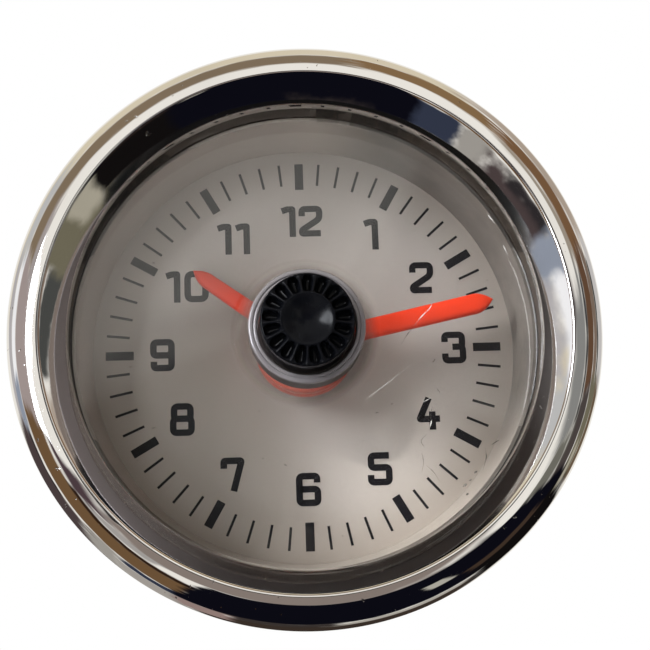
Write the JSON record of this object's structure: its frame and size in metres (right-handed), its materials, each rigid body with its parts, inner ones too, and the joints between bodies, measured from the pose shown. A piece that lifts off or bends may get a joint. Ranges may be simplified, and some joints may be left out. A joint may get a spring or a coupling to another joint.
{
  "type": "car dashboard clock",
  "caption": "Round panel-mounted analogue quartz clock with a chrome bezel, silver dial, orange hands and a fluted push-and-turn setting knob at the middle of its window.",
  "frame": {"origin": "on the clock's axis, in the plane of the bezel's rear face, which seats on the panel", "axes": "+Y into the panel along the axis, -Y towards the viewer, +Z towards twelve o'clock, +X to the right as the dial is read"},
  "size_m": [0.06, 0.0614, 0.06],
  "materials": {
    "chrome_bezel": "mirror polish with light wear",
    "clear_window": "clear moulded plastic with fine scratches",
    "black_rubber": "matte",
    "grey_ring": "satin grey",
    "silver_dial": "satin silver paint with printed marks",
    "clear_guide": "clear, polished",
    "orange_hands": "moulded, slightly translucent",
    "black_knob": "satin black",
    "bright_steel": "turned",
    "yellow_brass": "stamped, lightly brushed",
    "ivory_plastic": "moulded",
    "soft_iron": "annealed sheet",
    "copper_wire": "enamelled winding",
    "green_board": "solder mask",
    "crystal_can": "drawn can",
    "black_resin": "moulded",
    "blue_sleeve": "shrunk sleeve",
    "tan_ceramic": "lacquered",
    "tinned_brass": "tinned",
    "lamp_plastic": "moulded",
    "lamp_glass": "clear",
    "housing_black": "moulded, fine texture",
    "zinc_steel": "zinc plated"
  },
  "bodies": {
    "case": {"bezel": "chrome_bezel", "lens": "clear_window", "lens_gasket": "black_rubber", "dial_ring": "grey_ring", "dial_plate": "silver_dial", "light_guide": "clear_guide", "knob_spring": "bright_steel", "plate_pillars": "bright_steel", "plate_screws": "bright_steel", "board_screws": "bright_steel", "front_plate": "yellow_brass", "back_plate": "yellow_brass", "coil_bobbin": "ivory_plastic", "stator": "soft_iron", "coil_core": "soft_iron", "coil_winding": "copper_wire", "circuit_board": "green_board", "quartz_crystal": "crystal_can", "timing_chip": "black_resin", "diode": "black_resin", "capacitor": "blue_sleeve", "resistor": "tan_ceramic", "blade_terminals": "tinned_brass", "lamp_holder": "lamp_plastic", "lamp_bulb": "lamp_glass", "housing": "housing_black", "rear_studs": "zinc_steel", "stud_washers": "zinc_steel", "stud_nuts": "zinc_steel"},
    "minute": {"minute_hand": "orange_hands", "cannon_pinion": "yellow_brass", "centre_arbor": "bright_steel", "centre_wheel": "yellow_brass"},
    "hour": {"hour_hand": "orange_hands", "hour_wheel": "ivory_plastic"},
    "motion": {"motion_wheel": "ivory_plastic"},
    "slow": {"slow_wheel": "yellow_brass", "slow_pinion": "bright_steel"},
    "fast": {"fast_wheel": "ivory_plastic", "fast_pinion": "bright_steel"},
    "rotor": {"rotor_pinion": "ivory_plastic", "rotor_magnet": "soft_iron"},
    "knob_slider": {"thrust_washer": "yellow_brass"},
    "knob": {"knob": "black_knob", "knob_stem": "bright_steel", "retaining_clip": "bright_steel", "drive_pad": "black_rubber"}
  },
  "joints": [
    {"name": "minute_turn", "type": "hinge", "parent": "case", "child": "minute", "pos_m": [0, 0.01, 0], "axis": [0, 1, 0], "continuous": true},
    {"name": "hour_turn", "type": "hinge", "parent": "case", "child": "hour", "pos_m": [0, 0.01, 0], "axis": [0, 1, 0], "continuous": true},
    {"name": "motion_turn", "type": "hinge", "parent": "case", "child": "motion", "pos_m": [0, 0.01, -0.009], "axis": [0, 1, 0], "continuous": true},
    {"name": "slow_turn", "type": "hinge", "parent": "case", "child": "slow", "pos_m": [-0.00886, 0.01, 0.00156], "axis": [0, 1, 0], "continuous": true},
    {"name": "fast_turn", "type": "hinge", "parent": "case", "child": "fast", "pos_m": [-0.00886, 0.01, 0.01011], "axis": [0, 1, 0], "continuous": true},
    {"name": "rotor_turn", "type": "hinge", "parent": "case", "child": "rotor", "pos_m": [0, 0.01, 0.01168], "axis": [0, 1, 0], "continuous": true},
    {"name": "knob_push", "type": "slide", "parent": "case", "child": "knob_slider", "axis": [0, 1, 0], "range_m": [0, 0.0012], "stiffness_N_per_m": 400, "springref_m": -0.0015, "deforming": ["knob_spring"]},
    {"name": "knob_turn", "type": "hinge", "parent": "knob_slider", "child": "knob", "pos_m": [0, -0.008, 0], "axis": [0, 1, 0], "continuous": true}
  ],
  "couplings": [
    {"joint": "hour_turn", "follows": "minute_turn", "ratio": 0.083333},
    {"joint": "motion_turn", "follows": "minute_turn", "ratio": -0.33333},
    {"joint": "slow_turn", "follows": "minute_turn", "ratio": -4},
    {"joint": "fast_turn", "follows": "minute_turn", "ratio": 15},
    {"joint": "rotor_turn", "follows": "minute_turn", "ratio": -60}
  ]
}
